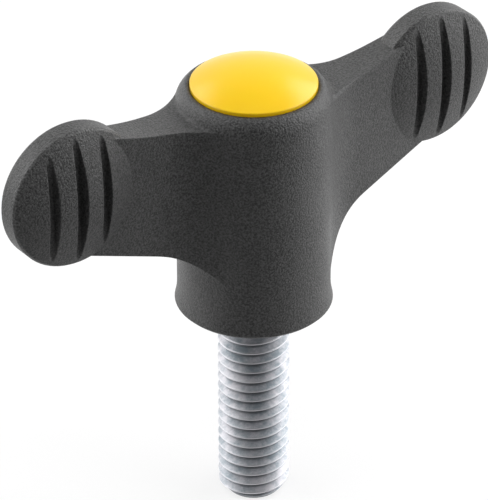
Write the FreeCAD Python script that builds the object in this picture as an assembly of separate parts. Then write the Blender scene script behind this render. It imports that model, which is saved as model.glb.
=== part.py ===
import FreeCAD, Part
import os
from math import atan2, cos, hypot, pi, radians, sin, sqrt

V = FreeCAD.Vector

# Wing knob with a threaded stud, in millimetres.
# The stud axis is Z and the hub's seat is the plane z = 0.
# The wings reach out along X.
# The knob looks the same after half a turn about Z.

# Hub
SEAT_R = 8.7
SEAT_EDGE = 0.35
FLARE_TOP = 2.4
HUB_R = 8.42
RIM_Z = 25.1
HUB_TOP = 26.75
LAND_R = 7.3
SHOULDER_BULGE = 0.2

# Wing blade: its middle plane runs beside the stud axis, so a turning hand finds it sooner
BLADE_OFFSET = 1.14
PAD_X = 23.0
PAD_Z = 21.08
PAD_R = 7.93
PAD_HALF = 2.93
PAD_RIM_HALF = 1.25
PAD_EDGE = 0.22
WEB_X = 16.4
WEB_HALF = 1.8
WEB_TAPER = 0.112
WEB_TOP = 26.2
WEB_TOP_START_X = 7.5
WEB_UNDER = 11.75
WEB_UNDER_SLOPE = radians(18.3)
UNDER_ARC_R = 11.0
FOOT_MARGIN = 0.4
LEADING_BLEND_R = 10.5
TRAILING_BLEND_R = 6.4
TRAILING_BLEND_LOW_R = 13.0

# Finger grooves, three on each face of each pad
GROOVES = 3
GROOVE_MID_X = 23.35
GROOVE_PITCH = 3.3
GROOVE_W = 1.4
GROOVE_FLOOR = 1.5
GROOVE_FLOOR_R = 0.4

# Threaded stud, moulded into the hub
THREAD_D = 8.0
STUD_OUT = 25.0
TIP_R = 3.1
TIP_H = 1.0
THREAD_SUNK = 0.1
SHANK_R = 3.6
STUD_IN = 17.0
ANCHOR_AF = 11.0
ANCHOR_BASE = 4.0
ANCHOR_TOP = 13.5
ANCHOR_NECK_R = 4.6
ANCHOR_NECK_H = 2.0

# Cover cap and the recess that it snaps into
CAP_R = 6.85
CAP_GAP = 0.09
CAP_SEAT_Z = 25.95
CAP_WALL_TOP = 27.1
CAP_RISE = 1.9
CAP_T = 1.2
SKIRT_R = 5.7
SKIRT_T = 1.1
SKIRT_H = 4.2
SKIRT_GAP = 0.06
BARB_OUT = 0.22
BARB_FLAT = 0.15
BARB_FLANK = 0.4
BARB_ABOVE = 0.5
SLIT_W = 1.0
SLIT_H = 3.2
SLITS = 4


def line(a, b):
    return Part.makeLine(a, b)


def arc(a, mid, b):
    return Part.Arc(a, mid, b).toShape()


def face(edges):
    return Part.Face(Part.Wire(edges))


def turned(edges):
    """Solid of revolution about Z from a closed outline in the XZ plane."""
    return face(edges).revolve(V(0, 0, 0), V(0, 0, 1), 360)


def half_turn(shape):
    copy = shape.copy()
    copy.rotate(V(0, 0, 0), V(0, 0, 1), 180)
    return copy


def on_arc(centre, radius, angle):
    """Point at an angle from +X on a circle in the XZ plane."""
    return V(centre.x + radius * cos(angle), centre.y, centre.z + radius * sin(angle))


def hub():
    a = V(0, 0, 0)
    b = V(SEAT_R - SEAT_EDGE, 0, 0)
    c = V(SEAT_R, 0, SEAT_EDGE)
    d = V(HUB_R, 0, FLARE_TOP)
    e = V(HUB_R, 0, RIM_Z)
    f = V(LAND_R, 0, HUB_TOP)
    g = V(0, 0, HUB_TOP)
    flare_mid = V(HUB_R + (SEAT_R - HUB_R) * 0.3, 0, (SEAT_EDGE + FLARE_TOP) / 2)
    side = hypot(e.x - f.x, f.z - e.z)
    bulge = V((f.z - e.z) / side, 0, (e.x - f.x) / side) * SHOULDER_BULGE
    edges = [
        line(a, b),
        line(b, c),
        arc(c, flare_mid, d),
        line(d, e),
        arc(e, (e + f) * 0.5 + bulge, f),
        line(f, g),
        line(g, a),
    ]
    return turned(edges)


def blend(side, radius):
    """Arc in plan from the web's face to the hub, tangent to both.

    side is -1 on the leading face and +1 on the trailing face.
    Returns the arc's end on the web, a point on it and its end on the hub.
    """
    slope = atan2(WEB_TAPER, 1)
    start = V(WEB_X, side * WEB_HALF - BLADE_OFFSET, 0)
    along = V(-cos(slope), side * sin(slope), 0)
    normal = V(sin(slope), side * cos(slope), 0)
    base = start + normal * radius
    reach = HUB_R + radius
    b = base.dot(along)
    run = -b - sqrt(b * b - base.dot(base) + reach * reach)
    centre = base + along * run
    on_web = centre - normal * radius
    on_hub = centre * (HUB_R / reach)
    to_mid = ((on_web - centre) + (on_hub - centre)).normalize()
    return on_web, centre + to_mid * radius, on_hub


def web_plan(z, trailing_r):
    """The web's outline in plan at one height, from the stud axis to inside the pad."""
    end_half = WEB_HALF - WEB_TAPER * (PAD_X - WEB_X)
    web_l, mid_l, hub_l = blend(-1, LEADING_BLEND_R)
    web_t, mid_t, hub_t = blend(1, trailing_r)
    end_l = V(PAD_X, -BLADE_OFFSET - end_half, 0)
    end_t = V(PAD_X, -BLADE_OFFSET + end_half, 0)
    edges = [
        line(V(0, 0, 0), hub_l),
        arc(hub_l, mid_l, web_l),
        line(web_l, end_l),
        line(end_l, end_t),
        line(end_t, web_t),
        arc(web_t, mid_t, hub_t),
        line(hub_t, V(0, 0, 0)),
    ]
    outline = Part.Wire(edges)
    outline.translate(V(0, 0, z))
    return outline


def web_faces():
    """Everything between the web's two faces: the trailing blend opens out towards the seat."""
    low = web_plan(0, TRAILING_BLEND_LOW_R)
    high = web_plan(PAD_Z + PAD_R, TRAILING_BLEND_R)
    return Part.makeLoft([low, high], True, True)


def web_side():
    """The web's outline from the front, carried through its thickness and on into the pad."""
    y = -HUB_R - BLADE_OFFSET
    top_in = V(WEB_TOP_START_X, y, RIM_Z)
    top_out = V(WEB_X, y, WEB_TOP)
    run = top_out.x - top_in.x
    rise = top_out.z - top_in.z
    top_r = (run ** 2 + rise ** 2) / (2 * rise)
    top_mid = V(top_in.x + run / 2, y, top_in.z + top_r - sqrt(top_r ** 2 - run ** 2 / 4))
    top_slope = run / (top_r - rise)
    top_end = V(PAD_X, y, top_out.z + (PAD_X - WEB_X) * top_slope)
    under_slope = sin(WEB_UNDER_SLOPE) / cos(WEB_UNDER_SLOPE)
    under_end = V(PAD_X, y, WEB_UNDER + (PAD_X - WEB_X) * under_slope)
    # the arc under the web ends upright, inside the leading blend
    foot_x = blend(-1, LEADING_BLEND_R)[2].x - FOOT_MARGIN
    centre_x = foot_x + UNDER_ARC_R
    touch_x = centre_x - UNDER_ARC_R * sin(WEB_UNDER_SLOPE)
    touch = V(touch_x, y, WEB_UNDER - (WEB_X - touch_x) * under_slope)
    centre = V(centre_x, y, touch.z - UNDER_ARC_R * cos(WEB_UNDER_SLOPE))
    arc_mid = on_arc(centre, UNDER_ARC_R, (pi / 2 + WEB_UNDER_SLOPE + pi) / 2)
    foot = V(foot_x, y, centre.z)
    edges = [
        line(V(0, y, RIM_Z), top_in),
        arc(top_in, top_mid, top_out),
        line(top_out, top_end),
        line(top_end, under_end),
        line(under_end, touch),
        arc(touch, arc_mid, foot),
        line(foot, V(0, y, centre.z)),
        line(V(0, y, centre.z), V(0, y, RIM_Z)),
    ]
    return face(edges).extrude(V(0, 2 * HUB_R + 2 * BLADE_OFFSET, 0))


def dome(rim_r, rise, crown, inward, pole):
    """Ball that touches its crown point and has dropped by rise at a distance of rim_r beside it."""
    radius = (rim_r ** 2 + rise ** 2) / (2 * rise)
    return Part.makeSphere(radius, crown + inward * radius, pole)


def pad():
    """Round pad with a dome on each face and the edges of its rim broken."""
    middle = V(PAD_X, -BLADE_OFFSET, PAD_Z)
    upright = V(0, 0, 1)
    disc = Part.makeCylinder(PAD_R, 2 * PAD_HALF, middle - V(0, PAD_HALF, 0), V(0, 1, 0))
    for side in (-1, 1):
        out = V(0, side, 0)
        crown = middle + out * PAD_HALF
        disc = disc.common(dome(PAD_R, PAD_HALF - PAD_RIM_HALF, crown, -out, upright))
    rim_edges = [e for e in disc.Edges if not isinstance(e.Curve, Part.Line)]
    return disc.makeChamfer(PAD_EDGE, rim_edges)


def groove(x, side):
    """Upright channel with sloping sides and a round floor, cut into one face of the pad."""
    z = PAD_Z - PAD_R
    foot = GROOVE_FLOOR + GROOVE_FLOOR_R
    spread = (GROOVE_W / 2 - GROOVE_FLOOR_R) / (PAD_HALF - foot)
    mouth = GROOVE_W / 2 + spread * PAD_HALF
    foot_y = side * foot - BLADE_OFFSET
    mouth_y = side * 2 * PAD_HALF - BLADE_OFFSET
    corners = [
        V(x - GROOVE_FLOOR_R, foot_y, z),
        V(x - mouth, mouth_y, z),
        V(x + mouth, mouth_y, z),
        V(x + GROOVE_FLOOR_R, foot_y, z),
        V(x - GROOVE_FLOOR_R, foot_y, z),
    ]
    flanks = Part.Face(Part.makePolygon(corners)).extrude(V(0, 0, 2 * PAD_R))
    round_floor = Part.makeCylinder(GROOVE_FLOOR_R, 2 * PAD_R, V(x, foot_y, z))
    return flanks.fuse(round_floor)


def blade():
    solid = web_faces().common(web_side()).fuse(pad())
    first = GROOVE_MID_X - GROOVE_PITCH * (GROOVES - 1) / 2
    cuts = []
    for i in range(GROOVES):
        for side in (-1, 1):
            cuts.append(groove(first + GROOVE_PITCH * i, side))
    return solid.cut(cuts)


def stud():
    """Plain stud, its buried shank as thin as the rod was before its thread was rolled."""
    r = THREAD_D / 2
    edges = [
        line(V(0, 0, -STUD_OUT), V(TIP_R, 0, -STUD_OUT)),
        line(V(TIP_R, 0, -STUD_OUT), V(r, 0, TIP_H - STUD_OUT)),
        line(V(r, 0, TIP_H - STUD_OUT), V(r, 0, THREAD_SUNK)),
        line(V(r, 0, THREAD_SUNK), V(SHANK_R, 0, THREAD_SUNK)),
        line(V(SHANK_R, 0, THREAD_SUNK), V(SHANK_R, 0, STUD_IN)),
        line(V(SHANK_R, 0, STUD_IN), V(0, 0, STUD_IN)),
        line(V(0, 0, STUD_IN), V(0, 0, -STUD_OUT)),
    ]
    corner_r = ANCHOR_AF / 2 / cos(pi / 6)
    corners = [V(corner_r * cos(i * pi / 3), corner_r * sin(i * pi / 3), ANCHOR_BASE) for i in range(7)]
    hexagon = Part.Face(Part.makePolygon(corners)).extrude(V(0, 0, ANCHOR_TOP - ANCHOR_BASE))
    neck_z = (ANCHOR_BASE + ANCHOR_TOP - ANCHOR_NECK_H) / 2
    ring = Part.makeCylinder(corner_r + 1, ANCHOR_NECK_H, V(0, 0, neck_z))
    ring = ring.cut(Part.makeCylinder(ANCHOR_NECK_R, ANCHOR_NECK_H, V(0, 0, neck_z)))
    return turned(edges).fuse(hexagon.cut(ring))


def barb(wall_r, out, z):
    """Ring that stands out of a wall by out, with a sloping flank above and below its flat crest."""
    inside = wall_r - SKIRT_T / 2
    crest_z = z + BARB_FLANK
    points = [
        V(inside, 0, z),
        V(wall_r, 0, z),
        V(wall_r + out, 0, crest_z),
        V(wall_r + out, 0, crest_z + BARB_FLAT),
        V(wall_r, 0, crest_z + BARB_FLAT + BARB_FLANK),
        V(inside, 0, crest_z + BARB_FLAT + BARB_FLANK),
        V(inside, 0, z),
    ]
    return turned(Part.makePolygon(points).Edges)


def recess():
    """Space for the cover cap: a seat for its rim and a bore with a snap groove."""
    bore_r = SKIRT_R + SKIRT_GAP
    seat_r = CAP_R + CAP_GAP
    bore = Part.makeCylinder(bore_r, HUB_TOP - STUD_IN, V(0, 0, STUD_IN))
    seat = Part.makeCylinder(seat_r, HUB_TOP - CAP_SEAT_Z, V(0, 0, CAP_SEAT_Z))
    snap = barb(bore_r, BARB_OUT, CAP_SEAT_Z - SKIRT_H + BARB_ABOVE)
    return bore.fuse([seat, snap])


def cover_cap():
    """Domed cap with a rim, and a slit skirt that snaps into the recess."""
    top = V(0, 0, CAP_WALL_TOP + CAP_RISE)
    foot_z = CAP_SEAT_Z - SKIRT_H
    foot = V(0, 0, foot_z)
    skirt_in = SKIRT_R - SKIRT_T
    head = Part.makeCylinder(CAP_R, top.z - CAP_SEAT_Z, V(0, 0, CAP_SEAT_Z))
    cap = head.fuse(Part.makeCylinder(SKIRT_R, SKIRT_H, foot))
    cap = cap.common(dome(CAP_R, CAP_RISE, top, V(0, 0, -1), V(1, 0, 0)))
    hollow = Part.makeCylinder(skirt_in, top.z - CAP_T - foot_z, foot)
    cap = cap.cut(hollow)
    lug = barb(SKIRT_R, BARB_OUT - SKIRT_GAP, foot_z + BARB_ABOVE)
    cap = cap.fuse(lug)
    slits = []
    for i in range(SLITS):
        slit = Part.makeBox(SKIRT_R * 2, SLIT_W, SLIT_H, V(0, -SLIT_W / 2, foot_z))
        slit.rotate(V(0, 0, 0), V(0, 0, 1), (i + 0.5) * 360 / SLITS)
        slits.append(slit)
    return cap.cut(slits)


def wing_body():
    right = blade()
    solid = hub().fuse([right, half_turn(right)])
    return solid.cut([stud(), recess()])


def main():
    os.makedirs("parts", exist_ok=True)
    nodes = {
        "wing_body": wing_body(),
        "cover_cap": cover_cap(),
        "threaded_stud": stud(),
    }
    for name, shape in nodes.items():
        shape = shape.removeSplitter()
        if len(shape.Solids) == 1:
            shape = shape.Solids[0]
        print(name, len(shape.Solids), "solid", round(shape.Volume, 1), "mm3", shape.isValid())
        shape.exportStep("parts/" + name + ".step")


main()
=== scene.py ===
import math

import bmesh
import bpy
import numpy as np
from bpy.props import FloatProperty, FloatVectorProperty, IntProperty, PointerProperty
from mathutils import Matrix, Vector


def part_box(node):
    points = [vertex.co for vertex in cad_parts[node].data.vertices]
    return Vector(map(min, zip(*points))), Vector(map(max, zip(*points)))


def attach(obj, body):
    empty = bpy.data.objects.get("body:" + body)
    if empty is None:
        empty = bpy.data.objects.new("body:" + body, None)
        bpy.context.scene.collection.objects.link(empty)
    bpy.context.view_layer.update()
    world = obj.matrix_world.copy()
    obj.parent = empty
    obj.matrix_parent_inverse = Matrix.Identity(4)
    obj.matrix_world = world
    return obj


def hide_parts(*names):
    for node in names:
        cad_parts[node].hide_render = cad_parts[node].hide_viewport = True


bl_info = {
    "name": "Threaded wing knob",
    "version": (1, 0, 0),
    "blender": (4, 5, 0),
    "location": "3D View > Sidebar > Wing knob",
    "description": "Dresses the wing knob: moulded body, cover cap and zinc-plated stud with its thread",
    "category": "Object",
}

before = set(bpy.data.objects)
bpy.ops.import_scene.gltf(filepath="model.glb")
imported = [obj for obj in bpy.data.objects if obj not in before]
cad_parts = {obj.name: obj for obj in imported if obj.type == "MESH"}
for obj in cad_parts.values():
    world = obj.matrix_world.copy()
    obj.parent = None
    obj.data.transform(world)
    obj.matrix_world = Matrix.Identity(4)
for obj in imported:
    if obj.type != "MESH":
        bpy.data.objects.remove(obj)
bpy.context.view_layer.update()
MM = 0.001

# Stud as the solid has it: outside of the thread, then its buried end
THREAD_R = 4.0 * MM
SHANK_R = 3.6 * MM
ANCHOR_AF = 11.0 * MM
ANCHOR_NECK_R = 4.6 * MM
ANCHOR_STEPS = (4.0 * MM, 7.75 * MM, 9.75 * MM, 13.5 * MM)

# Half of the thread's section, from a root to the next crest: share of the pitch, share of the depth
THREAD_SECTION = (
    (0.0, 1.0),
    (0.07, 0.98),
    (0.12, 0.86),
    (0.2, 0.65),
    (0.3, 0.37),
    (0.38, 0.16),
    (0.43, 0.045),
    (0.465, 0.012),
    (0.5, 0.0),
)
# Pitches by which the thread's first row starts under the tip, so that its crests lie as in the photograph
THREAD_START = 1.09
# Edges of the stud that turn by more than this stay sharp; its points and slivers closer than these are joined
STUD_SHARP = math.radians(50)
STUD_WELD = 0.0004 * MM
STUD_SLIVER = 0.0001 * MM

# Edges of the CAD pieces that turn by more than this stay sharp; points closer than the weld are one point
CAD_SHARP = math.radians(22)
CAD_WELD = 0.002 * MM

# Between these the shoulder's larger radius fades out away from the axis, and grows with height
SHOULDER_REACH = (9 * MM, 12 * MM)
SHOULDER_HEIGHT = (20 * MM, 24 * MM)

# Black plastic: shades of the dark and light specks painted into its colour as shares of it, the painted shade and
# painted glints of its grain; width of its glossier and duller patches in millimetres, and their roughness
PAINTED_SPECK_SHARES = (0.1, 1.9)
BODY_PATCH = 6.0
BODY_ROUGHNESS = (0.44, 0.54)

# Yellow plastic: width and height of its blasted grain in millimetres, wider than the real 0.1 mm so that it shows
CAP_GRAIN, CAP_GRAIN_HEIGHT = 0.3, 0.002
CAP_ROUGHNESS = 0.3

# Zinc plate: width of its patches, and width and height of its crystals, in millimetres; the crystals are wider than
# the real ones, which are finer than 0.05 mm, so that they show
ZINC_PATCH = 2.6
ZINC_CRYSTAL, ZINC_CRYSTAL_HEIGHT = 0.25, 0.02
# Height above a root over which painted shade darkens it, depth below a crest to which it is worn, roughness of
# flanks and crests
ROOT_SHADE_HEIGHT = 0.2 * MM
WORN_DEPTH = 0.08 * MM
FLANK_ROUGHNESS, CREST_ROUGHNESS = 0.6, 0.45

# Camera fitted to the knob's outlines: turn, tilt and roll in radians, place in metres, lens on a 36 mm sensor
CAMERA_TURN, CAMERA_TILT, CAMERA_ROLL = 0.6409, 0.5578, -0.0013
CAMERA_PLACE = Vector((-207.653, -276.584, 221.856)) * MM
CAMERA_LENS, CAMERA_SENSOR = 269.09, 36
# Level direction in which that camera looks, rounded, and the bearing of the camera as seen from the knob
BEHIND = (0.6, 0.8, 0)
CAMERA_BEARING = math.degrees(math.atan2(-BEHIND[1], -BEHIND[0]))

# Lamps: degrees to the right of the camera, degrees above the floor, sides in metres, watts, mirrored in a gloss
LAMP_DISTANCE = 0.8
LAMP_AIM = Vector((0, 0, 10)) * MM
LAMPS = {
    "lamp_left": (-100, 27, (1.3, 0.8), 6.6, True),
    "lamp_right": (105, 27, (1.3, 0.8), 9.2, True),
    "lamp_top": (0, 75, (0.6, 0.6), 2.9, False),
}

# Studio: what a gloss mirrors in front of the knob and behind it, and between which shares of the direction behind it
# the world and the floor turn from one to the other
MIRRORED_DIM, MIRRORED_WHITE = 0.07, 1.0
WORLD_TURNS = (-0.6, 0.6)
FLOOR_TURNS = (-0.9, 0.0)
# The world's light on matt faces; the floor's distance from the axis in metres and its level for the camera there,
# near the knob and far away; and how far the floor reaches
WORLD_LIGHT = 0.03
PAPER_NEAR, PAPER_FAR = (0.1, 0.76), (0.5, 1.0)
FLOOR_REACH = 3.0


def linear(code):
    """Linear colour from an sRGB hex value."""
    parts = [int(code[i : i + 2], 16) / 255 for i in (1, 3, 5)]
    return tuple(v / 12.92 if v <= 0.04045 else ((v + 0.055) / 1.055) ** 2.4 for v in parts)


def per_metre(size_mm):
    """Noise scale whose grains have a size in millimetres."""
    return 1000 / size_mm


def add_node(tree, kind, settings=None, values=None, links=None):
    """Adds a node, sets its own settings and its sockets' values, and links sockets to other nodes' outputs."""
    node = tree.nodes.new(kind)
    for name, value in (settings or {}).items():
        setattr(node, name, value)
    for socket, value in (values or {}).items():
        node.inputs[socket].default_value = value
    for socket, output in (links or {}).items():
        tree.links.new(output, node.inputs[socket])
    return node


def new_material(name):
    """Material with an empty node tree."""
    material = bpy.data.materials.new(name)
    material.use_nodes = True
    material.node_tree.nodes.clear()
    return material, material.node_tree


class MouldedFinish(bpy.types.PropertyGroup):
    """Finish of the moulded body"""

    colour: FloatVectorProperty(
        name="Body colour",
        description="Colour of the black polyamide",
        subtype="COLOR",
        size=3,
        min=0,
        max=1,
        default=linear("#383838"),
    )
    grain: FloatProperty(
        name="Texture grain",
        description="Size of the eroded texture's grains, as a coarse spark erosion leaves them",
        subtype="DISTANCE",
        unit="LENGTH",
        default=0.21 * MM,
    )
    depth: FloatProperty(
        name="Texture depth",
        description="Height over the whole range of the texture's noise, of which about a third is reached",
        subtype="DISTANCE",
        unit="LENGTH",
        default=0.11 * MM,
    )
    edge: FloatProperty(
        name="Edge rounding",
        description="Radius that the mould leaves on an edge",
        subtype="DISTANCE",
        unit="LENGTH",
        default=0.2 * MM,
    )
    shoulder: FloatProperty(
        name="Shoulder rounding",
        description="Larger radius where the wings run into the hub's shoulder",
        subtype="DISTANCE",
        unit="LENGTH",
        default=0.8 * MM,
    )


class CapFinish(bpy.types.PropertyGroup):
    """Finish of the cover cap"""

    colour: FloatVectorProperty(
        name="Cap colour",
        description="Colour of the yellow polyamide",
        subtype="COLOR",
        size=3,
        min=0,
        max=1,
        default=linear("#FFCE00"),
    )
    edge: FloatProperty(
        name="Edge rounding",
        description="Radius on the cap's rim",
        subtype="DISTANCE",
        unit="LENGTH",
        default=0.25 * MM,
    )


class StudSizes(bpy.types.PropertyGroup):
    """Thread and plating of the stud"""

    colour: FloatVectorProperty(
        name="Plating colour",
        description="Colour of the blue-passivated zinc",
        subtype="COLOR",
        size=3,
        min=0,
        max=1,
        default=linear("#CBCACE"),
    )
    cold: FloatVectorProperty(
        name="Patch colour",
        description="Colour of the colder patches of the passivation",
        subtype="COLOR",
        size=3,
        min=0,
        max=1,
        default=linear("#9BA3A9"),
    )
    # Painted shade: the roots of the thread are darkened in the colour, where shade falls between the flanks
    roots: FloatVectorProperty(
        name="Root colour",
        description="Colour of the dull roots of the thread",
        subtype="COLOR",
        size=3,
        min=0,
        max=1,
        default=linear("#74777B"),
    )
    crests: FloatVectorProperty(
        name="Crest colour",
        description="Colour of the worn crests of the thread",
        subtype="COLOR",
        size=3,
        min=0,
        max=1,
        default=linear("#C9C9CD"),
    )
    pitch: FloatProperty(
        name="Thread pitch",
        description="Height of one turn of the thread",
        subtype="DISTANCE",
        unit="LENGTH",
        default=1.25 * MM,
    )
    root: FloatProperty(
        name="Root radius",
        description="Radius at the bottom of the thread",
        subtype="DISTANCE",
        unit="LENGTH",
        default=3.24 * MM,
    )
    tip_radius: FloatProperty(
        name="Tip radius",
        description="Radius of the flat at the end of the stud",
        subtype="DISTANCE",
        unit="LENGTH",
        default=3.0 * MM,
    )
    tip_height: FloatProperty(
        name="Tip height",
        description="Height of the chamfer at the end of the stud",
        subtype="DISTANCE",
        unit="LENGTH",
        default=1.2 * MM,
    )
    runout: FloatProperty(
        name="Run-out",
        description="Height over which the thread fades under the hub",
        subtype="DISTANCE",
        unit="LENGTH",
        default=0.3 * MM,
    )
    columns: IntProperty(
        name="Columns",
        description="Divisions round the stud",
        default=96,
        min=24,
    )


class KnobSettings(bpy.types.PropertyGroup):
    """Settings of the three pieces"""

    body: PointerProperty(type=MouldedFinish)
    cap: PointerProperty(type=CapFinish)
    stud: PointerProperty(type=StudSizes)


def across_axis(tree, place):
    """Distance of a point from the stud's axis."""
    flat = add_node(
        tree,
        "ShaderNodeVectorMath",
        settings={"operation": "MULTIPLY"},
        values={1: (1, 1, 0)},
        links={0: place},
    )
    return add_node(
        tree, "ShaderNodeVectorMath", settings={"operation": "LENGTH"}, links={0: flat.outputs["Vector"]}
    ).outputs["Value"]


def edge_radius(tree, place, finish):
    """Mould radii: fine on the wings, larger where the wings run into the hub's shoulder."""
    near = add_node(
        tree,
        "ShaderNodeMapRange",
        values={"From Min": SHOULDER_REACH[0], "From Max": SHOULDER_REACH[1], "To Min": 1.0, "To Max": 0.0},
        links={"Value": across_axis(tree, place)},
    )
    height = add_node(tree, "ShaderNodeSeparateXYZ", links={0: place})
    high = add_node(
        tree,
        "ShaderNodeMapRange",
        values={"From Min": SHOULDER_HEIGHT[0], "From Max": SHOULDER_HEIGHT[1]},
        links={"Value": height.outputs["Z"]},
    )
    share = add_node(
        tree,
        "ShaderNodeMath",
        settings={"operation": "MULTIPLY"},
        links={0: near.outputs["Result"], 1: high.outputs["Result"]},
    )
    return add_node(
        tree,
        "ShaderNodeMapRange",
        values={"To Min": finish.edge, "To Max": finish.shoulder},
        links={"Value": share.outputs[0]},
    ).outputs["Result"]


def eroded_polyamide(finish):
    """Glass-filled polyamide from a spark-eroded mould: matt black, its fine grain breaks the sheen into specks,
    light and dark specks of its colour are painted glints and painted shade of that grain, and patches some
    millimetres wide, where more glass lies near the skin, are a little duller."""
    material, tree = new_material("black_polyamide_eroded")
    place = add_node(tree, "ShaderNodeTexCoord").outputs["Object"]
    grain = add_node(
        tree,
        "ShaderNodeTexNoise",
        values={"Scale": per_metre(finish.grain / MM), "Detail": 2.0, "Roughness": 0.6},
        links={"Vector": place},
    )
    # Painted glints and painted shade: light and dark specks in the body's colour, following the grain
    painted_speck_mask = add_node(
        tree,
        "ShaderNodeMapRange",
        values={"From Min": 0.35, "From Max": 0.65},
        links={"Value": grain.outputs["Fac"]},
    )
    cloud = add_node(
        tree,
        "ShaderNodeTexNoise",
        values={"Scale": per_metre(BODY_PATCH), "Detail": 2.0},
        links={"Vector": place},
    )
    # Body colour with its painted glint and painted shade specks
    shade = add_node(
        tree,
        "ShaderNodeMix",
        settings={"data_type": "RGBA", "blend_type": "MIX"},
        values={side: (*[c * shade for c in finish.colour], 1) for side, shade in zip("AB", PAINTED_SPECK_SHARES)},
        links={"Factor": painted_speck_mask.outputs["Result"]},
    )
    sheen = add_node(
        tree,
        "ShaderNodeMapRange",
        values={"From Min": 0.3, "From Max": 0.7, "To Min": BODY_ROUGHNESS[0], "To Max": BODY_ROUGHNESS[1]},
        links={"Value": cloud.outputs["Fac"]},
    )
    rounded = add_node(
        tree,
        "ShaderNodeBevel",
        settings={"samples": 8},
        links={"Radius": edge_radius(tree, place, finish)},
    )
    bumped = add_node(
        tree,
        "ShaderNodeBump",
        values={"Strength": 1.0, "Distance": finish.depth},
        links={"Height": grain.outputs["Fac"], "Normal": rounded.outputs["Normal"]},
    )
    shader = add_node(
        tree,
        "ShaderNodeBsdfPrincipled",
        values={"IOR": 1.57},
        links={
            "Base Color": shade.outputs["Result"],
            "Roughness": sheen.outputs["Result"],
            "Normal": bumped.outputs["Normal"],
        },
    )
    add_node(tree, "ShaderNodeOutputMaterial", links={"Surface": shader.outputs["BSDF"]})
    return material


def satin_polyamide(finish):
    """Unfilled polyamide from a blasted mould: strong yellow with a satin sheen and light that spreads inside."""
    material, tree = new_material("yellow_polyamide_satin")
    place = add_node(tree, "ShaderNodeTexCoord").outputs["Object"]
    grain = add_node(
        tree,
        "ShaderNodeTexNoise",
        values={"Scale": per_metre(CAP_GRAIN), "Detail": 2.0},
        links={"Vector": place},
    )
    rounded = add_node(tree, "ShaderNodeBevel", settings={"samples": 6}, values={"Radius": finish.edge})
    bumped = add_node(
        tree,
        "ShaderNodeBump",
        values={"Strength": 1.0, "Distance": CAP_GRAIN_HEIGHT * MM},
        links={"Height": grain.outputs["Fac"], "Normal": rounded.outputs["Normal"]},
    )
    shader = add_node(
        tree,
        "ShaderNodeBsdfPrincipled",
        values={
            "Base Color": (*finish.colour, 1),
            "Roughness": CAP_ROUGHNESS,
            "IOR": 1.53,
            "Subsurface Weight": 0.15,
            "Subsurface Radius": (1.0, 0.55, 0.05),
            "Subsurface Scale": 1.5 * MM,
        },
        links={"Normal": bumped.outputs["Normal"]},
    )
    add_node(tree, "ShaderNodeOutputMaterial", links={"Surface": shader.outputs["BSDF"]})
    return material


def plated_zinc(finish):
    """Steel with a rolled thread, electroplated with zinc and passivated: a grey metal with cold patches, bright and
    worn on the crests, with painted shade that darkens it in the roots."""
    material, tree = new_material("zinc_plate_passivated")
    place = add_node(tree, "ShaderNodeTexCoord").outputs["Object"]
    reach = across_axis(tree, place)
    # Painted shade in the roots: share of the way up from a root, over which the colour leaves the root colour
    clear_of_root_shade = add_node(
        tree,
        "ShaderNodeMapRange",
        values={"From Min": finish.root, "From Max": finish.root + ROOT_SHADE_HEIGHT},
        links={"Value": reach},
    )
    crest = add_node(
        tree,
        "ShaderNodeMapRange",
        values={"From Min": THREAD_R - WORN_DEPTH, "From Max": THREAD_R},
        links={"Value": reach},
    )
    cloud = add_node(
        tree,
        "ShaderNodeTexNoise",
        values={"Scale": per_metre(ZINC_PATCH), "Detail": 6.0, "Roughness": 0.8},
        links={"Vector": place},
    )
    crystals = add_node(
        tree,
        "ShaderNodeTexNoise",
        values={"Scale": per_metre(ZINC_CRYSTAL), "Detail": 2.0},
        links={"Vector": place},
    )
    patches = add_node(
        tree,
        "ShaderNodeMapRange",
        values={"From Min": 0.4, "From Max": 0.6},
        links={"Value": cloud.outputs["Fac"]},
    )
    tint = add_node(
        tree,
        "ShaderNodeMix",
        settings={"data_type": "RGBA", "blend_type": "MIX"},
        values={"A": (*finish.cold, 1), "B": (*finish.colour, 1)},
        links={"Factor": patches.outputs["Result"]},
    )
    # Painted shade: the colour darkens to the root colour in the roots
    shaded = add_node(
        tree,
        "ShaderNodeMix",
        settings={"data_type": "RGBA", "blend_type": "MIX"},
        values={"A": (*finish.roots, 1)},
        links={"Factor": clear_of_root_shade.outputs["Result"], "B": tint.outputs["Result"]},
    )
    worn = add_node(
        tree,
        "ShaderNodeMix",
        settings={"data_type": "RGBA", "blend_type": "MIX"},
        values={"B": (*finish.crests, 1)},
        links={"Factor": crest.outputs["Result"], "A": shaded.outputs["Result"]},
    )
    polish = add_node(
        tree,
        "ShaderNodeMapRange",
        values={"To Min": FLANK_ROUGHNESS, "To Max": CREST_ROUGHNESS},
        links={"Value": crest.outputs["Result"]},
    )
    bumped = add_node(
        tree,
        "ShaderNodeBump",
        values={"Strength": 1.0, "Distance": ZINC_CRYSTAL_HEIGHT * MM},
        links={"Height": crystals.outputs["Fac"]},
    )
    shader = add_node(
        tree,
        "ShaderNodeBsdfPrincipled",
        values={"Metallic": 1.0},
        links={
            "Base Color": worn.outputs["Result"],
            "Roughness": polish.outputs["Result"],
            "Normal": bumped.outputs["Normal"],
        },
    )
    add_node(tree, "ShaderNodeOutputMaterial", links={"Surface": shader.outputs["BSDF"]})
    return material


def dress(name, material):
    """Gives a CAD piece its material and smooth faces that keep their sharp edges."""
    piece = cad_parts[name]
    for slot in piece.material_slots:
        slot.material = material
    piece.data.shade_smooth()
    weld = piece.modifiers.new("weld", "WELD")
    weld.merge_threshold = CAD_WELD
    split = piece.modifiers.new("sharp_edges", "EDGE_SPLIT")
    split.split_angle = CAD_SHARP
    return piece


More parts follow.
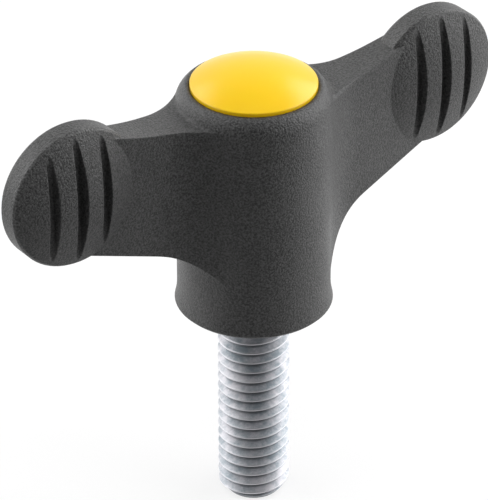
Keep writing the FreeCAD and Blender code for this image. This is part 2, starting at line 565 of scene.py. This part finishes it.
def stud_rings(sizes):
    """Points of the stud from its tip up: the sheared rows of the thread, then level rings in the hub."""
    low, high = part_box("threaded_stud")
    section = THREAD_SECTION + tuple((1 - share, deep) for share, deep in reversed(THREAD_SECTION[1:-1]))
    steps = len(section)
    angle = np.arange(sizes.columns) * 2 * np.pi / sizes.columns
    # one turn more for the start under the tip, and one for the climb round the stud
    turns = math.ceil(-low.z / sizes.pitch) + 2
    rows = []
    for step in range(turns * steps + 1):
        share, deep = step // steps + section[step % steps][0], section[step % steps][1]
        z = low.z + sizes.pitch * (share - THREAD_START + angle / (2 * np.pi))
        radius = np.full_like(z, THREAD_R + (sizes.root - THREAD_R) * deep)
        chamfer = sizes.tip_radius + (THREAD_R - sizes.tip_radius) * (z - low.z) / sizes.tip_height
        radius = np.where(z <= low.z, sizes.tip_radius, np.minimum(radius, np.maximum(chamfer, sizes.tip_radius)))
        fade = np.clip(1 + z / sizes.runout, 0, 1)
        radius = radius + (SHANK_R - radius) * fade
        rows.append((radius, np.clip(z, low.z, 0)))
    flat = np.abs((angle + np.pi / 6) % (np.pi / 3) - np.pi / 6)
    hexagon = ANCHOR_AF / 2 / np.cos(np.pi / 6 - flat)
    round_shank = np.full_like(angle, SHANK_R)
    neck = np.full_like(angle, ANCHOR_NECK_R)
    base, neck_low, neck_high, top = ANCHOR_STEPS
    levels = [
        (round_shank, base),
        (hexagon, base),
        (hexagon, neck_low),
        (neck, neck_low),
        (neck, neck_high),
        (hexagon, neck_high),
        (hexagon, top),
        (round_shank, top),
        (round_shank, high.z),
    ]
    level_rows = [(radius, np.full_like(angle, z)) for radius, z in levels]
    return angle, rows, level_rows, steps


def stud_mesh(sizes):
    """Closed mesh of the stud; where the last column meets the first, the thread has climbed one turn."""
    angle, rows, level_rows, steps = stud_rings(sizes)
    bm = bmesh.new()
    made = []
    for radius, z in rows + level_rows:
        made.append([bm.verts.new((r * math.cos(a), r * math.sin(a), h)) for r, a, h in zip(radius, angle, z)])
    count = len(angle)
    last = len(rows) - 1
    for i in range(last):
        for j in range(count):
            if j + 1 < count:
                ring = (made[i][j], made[i][j + 1], made[i + 1][j + 1], made[i + 1][j])
            elif i + 1 + steps <= last:
                ring = (made[i][j], made[i + steps][0], made[i + 1 + steps][0], made[i + 1][j])
            else:
                continue
            bm.faces.new(ring)
    for i in range(last, len(made) - 1):
        for j in range(count):
            k = (j + 1) % count
            bm.faces.new((made[i][j], made[i][k], made[i + 1][k], made[i + 1][j]))
    bmesh.ops.remove_doubles(bm, verts=bm.verts[:], dist=STUD_WELD)
    bmesh.ops.dissolve_degenerate(bm, edges=bm.edges[:], dist=STUD_SLIVER)
    bmesh.ops.holes_fill(bm, edges=[e for e in bm.edges if e.is_boundary], sides=0)
    bmesh.ops.recalc_face_normals(bm, faces=bm.faces[:])
    mesh = bpy.data.meshes.new("stud_with_thread")
    bm.to_mesh(mesh)
    bm.free()
    mesh.shade_smooth()
    mesh.set_sharp_from_angle(angle=STUD_SHARP)
    return mesh


class DressBody(bpy.types.Operator):
    """Gives the moulded body its eroded black finish"""

    bl_idname = "wing_knob.dress_body"
    bl_label = "Dress the body"

    def execute(self, context):
        dress("wing_body", eroded_polyamide(context.scene.wing_knob.body))
        return {"FINISHED"}


class DressCap(bpy.types.Operator):
    """Gives the cover cap its satin yellow finish"""

    bl_idname = "wing_knob.dress_cap"
    bl_label = "Dress the cap"

    def execute(self, context):
        dress("cover_cap", satin_polyamide(context.scene.wing_knob.cap))
        return {"FINISHED"}


class BuildStud(bpy.types.Operator):
    """Makes the stud with its rolled thread and plating"""

    bl_idname = "wing_knob.build_stud"
    bl_label = "Build the stud"

    def execute(self, context):
        sizes = context.scene.wing_knob.stud
        stud = bpy.data.objects.new("stud_with_thread", stud_mesh(sizes))
        context.scene.collection.objects.link(stud)
        stud.data.materials.append(plated_zinc(sizes))
        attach(stud, "root")
        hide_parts("threaded_stud")
        return {"FINISHED"}


def seen_levels(tree, mirrored, matt, seen=None):
    """Strength by kind of ray: white or a given level for the camera, what a gloss or glass shows, and as light on
    matt faces."""
    path = add_node(tree, "ShaderNodeLightPath")
    own = path.outputs["Is Camera Ray"]
    if seen:
        own = add_node(tree, "ShaderNodeMath", settings={"operation": "MULTIPLY"}, links={0: own, 1: seen}).outputs[0]
    shiny = add_node(
        tree,
        "ShaderNodeMath",
        settings={"operation": "MAXIMUM"},
        links={0: path.outputs["Is Glossy Ray"], 1: path.outputs["Is Transmission Ray"]},
    )
    other = add_node(
        tree,
        "ShaderNodeMapRange",
        values={"To Min": matt},
        links={"Value": shiny.outputs[0], "To Max": mirrored},
    )
    return add_node(
        tree,
        "ShaderNodeMath",
        settings={"operation": "MAXIMUM"},
        links={0: own, 1: other.outputs["Result"]},
    ).outputs[0]


def dark_front(tree, direction, turns):
    """What a gloss mirrors of the studio: dim in front of the knob, where the room is dark, and white behind it."""
    behind = add_node(
        tree,
        "ShaderNodeVectorMath",
        settings={"operation": "DOT_PRODUCT"},
        values={1: BEHIND},
        links={0: direction},
    )
    return add_node(
        tree,
        "ShaderNodeMapRange",
        values={"From Min": turns[0], "From Max": turns[1], "To Min": MIRRORED_DIM, "To Max": MIRRORED_WHITE},
        links={"Value": behind.outputs["Value"]},
    ).outputs["Result"]


def studio_world():
    """White all round for the camera, and hardly any light of its own."""
    world = bpy.data.worlds.new("white_studio")
    world.use_nodes = True
    tree = world.node_tree
    tree.nodes.clear()
    direction = add_node(tree, "ShaderNodeTexCoord").outputs["Generated"]
    sky = add_node(
        tree,
        "ShaderNodeBackground",
        values={"Color": (*linear("#FFFFFF"), 1)},
        links={"Strength": seen_levels(tree, dark_front(tree, direction, WORLD_TURNS), WORLD_LIGHT)},
    )
    add_node(tree, "ShaderNodeOutputWorld", links={"Surface": sky.outputs["Background"]})
    return world


def pale_floor():
    """Matt white paper: near the knob part of its white is the sheet's own colour, so it keeps the shadow. From below
    it is clear, so the underside can be looked at."""
    material, tree = new_material("white_paper_matt")
    place = add_node(tree, "ShaderNodeTexCoord").outputs["Object"]
    paper = add_node(tree, "ShaderNodeBsdfDiffuse", values={"Color": (*linear("#898989"), 1)})
    direction = add_node(
        tree, "ShaderNodeVectorMath", settings={"operation": "NORMALIZE"}, links={0: place}
    ).outputs["Vector"]
    seen = add_node(
        tree,
        "ShaderNodeMapRange",
        values={
            "From Min": PAPER_NEAR[0],
            "From Max": PAPER_FAR[0],
            "To Min": PAPER_NEAR[1],
            "To Max": PAPER_FAR[1],
        },
        links={"Value": across_axis(tree, place)},
    )
    white = add_node(
        tree,
        "ShaderNodeEmission",
        values={"Color": (*linear("#FFFFFF"), 1)},
        links={"Strength": seen_levels(tree, dark_front(tree, direction, FLOOR_TURNS), 0.0, seen.outputs["Result"])},
    )
    sheet = add_node(
        tree,
        "ShaderNodeAddShader",
        links={0: paper.outputs["BSDF"], 1: white.outputs["Emission"]},
    )
    clear = add_node(tree, "ShaderNodeBsdfTransparent")
    sided = add_node(
        tree,
        "ShaderNodeMixShader",
        links={
            0: add_node(tree, "ShaderNodeNewGeometry").outputs["Backfacing"],
            1: sheet.outputs["Shader"],
            2: clear.outputs["BSDF"],
        },
    )
    add_node(tree, "ShaderNodeOutputMaterial", links={"Surface": sided.outputs["Shader"]})
    return material


def softbox(name, turn, height, sides, power, mirrored):
    """Lamp that faces the knob, turned in degrees to the right of the camera and raised above the floor."""
    away = math.radians(CAMERA_BEARING + turn)
    rise = math.radians(height)
    place = Vector((math.cos(rise) * math.cos(away), math.cos(rise) * math.sin(away), math.sin(rise))) * LAMP_DISTANCE
    lamp = bpy.data.lights.new(name, "AREA")
    lamp.shape = "RECTANGLE"
    lamp.size, lamp.size_y = sides
    lamp.energy = power
    holder = bpy.data.objects.new(name, lamp)
    bpy.context.scene.collection.objects.link(holder)
    holder.location = place
    holder.rotation_euler = (LAMP_AIM - place).to_track_quat("-Z", "Y").to_euler()
    holder.visible_glossy = mirrored


def photo_camera():
    """Camera at the photograph's viewing angle."""
    turn, tilt, roll = CAMERA_TURN, CAMERA_TILT, CAMERA_ROLL
    ahead = Vector((math.sin(turn) * math.cos(tilt), math.cos(turn) * math.cos(tilt), -math.sin(tilt)))
    right = Vector((math.cos(turn), -math.sin(turn), 0))
    up = right.cross(ahead)
    across = right * math.cos(roll) + up * math.sin(roll)
    above = up * math.cos(roll) - right * math.sin(roll)
    camera = bpy.data.cameras.new("camera")
    camera.lens = CAMERA_LENS
    camera.sensor_width = CAMERA_SENSOR
    camera.clip_start = 0.01
    camera.clip_end = 20
    holder = bpy.data.objects.new("camera", camera)
    bpy.context.scene.collection.objects.link(holder)
    pose = Matrix((across, above, -ahead)).transposed().to_4x4()
    pose.translation = CAMERA_PLACE
    holder.matrix_world = pose
    bpy.context.scene.camera = holder


class SetStage(bpy.types.Operator):
    """Sets the pale floor, the soft studio light and the camera"""

    bl_idname = "wing_knob.set_stage"
    bl_label = "Set the stage"

    def execute(self, context):
        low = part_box("threaded_stud")[0].z
        corners = [(x * FLOOR_REACH, y * FLOOR_REACH, low) for x, y in ((-1, -1), (1, -1), (1, 1), (-1, 1))]
        mesh = bpy.data.meshes.new("floor")
        mesh.from_pydata(corners, [], [(0, 1, 2, 3)])
        mesh.materials.append(pale_floor())
        floor = bpy.data.objects.new("floor", mesh)
        context.scene.collection.objects.link(floor)
        context.scene.world = studio_world()
        for name, (turn, height, sides, power, mirrored) in LAMPS.items():
            softbox(name, turn, height, sides, power, mirrored)
        photo_camera()
        context.scene.view_settings.view_transform = "Standard"
        return {"FINISHED"}


class KnobPanel(bpy.types.Panel):
    """Steps that dress the wing knob"""

    bl_idname = "VIEW3D_PT_wing_knob"
    bl_label = "Wing knob"
    bl_space_type = "VIEW_3D"
    bl_region_type = "UI"
    bl_category = "Wing knob"

    def draw(self, context):
        settings = context.scene.wing_knob
        for title, group, operator in (
            ("Body", settings.body, DressBody),
            ("Cap", settings.cap, DressCap),
            ("Stud", settings.stud, BuildStud),
        ):
            box = self.layout.box()
            box.label(text=title)
            for name in group.__annotations__:
                box.prop(group, name)
            box.operator(operator.bl_idname)
        self.layout.operator(SetStage.bl_idname)


CLASSES = (
    MouldedFinish,
    CapFinish,
    StudSizes,
    KnobSettings,
    DressBody,
    DressCap,
    BuildStud,
    SetStage,
    KnobPanel,
)


def register():
    for item in CLASSES:
        bpy.utils.register_class(item)
    bpy.types.Scene.wing_knob = PointerProperty(type=KnobSettings)


def unregister():
    del bpy.types.Scene.wing_knob
    for item in reversed(CLASSES):
        bpy.utils.unregister_class(item)


def main():
    register()
    bpy.ops.wing_knob.dress_body()
    bpy.ops.wing_knob.dress_cap()
    bpy.ops.wing_knob.build_stud()
    bpy.ops.wing_knob.set_stage()


if __name__ == "__main__":
    main()
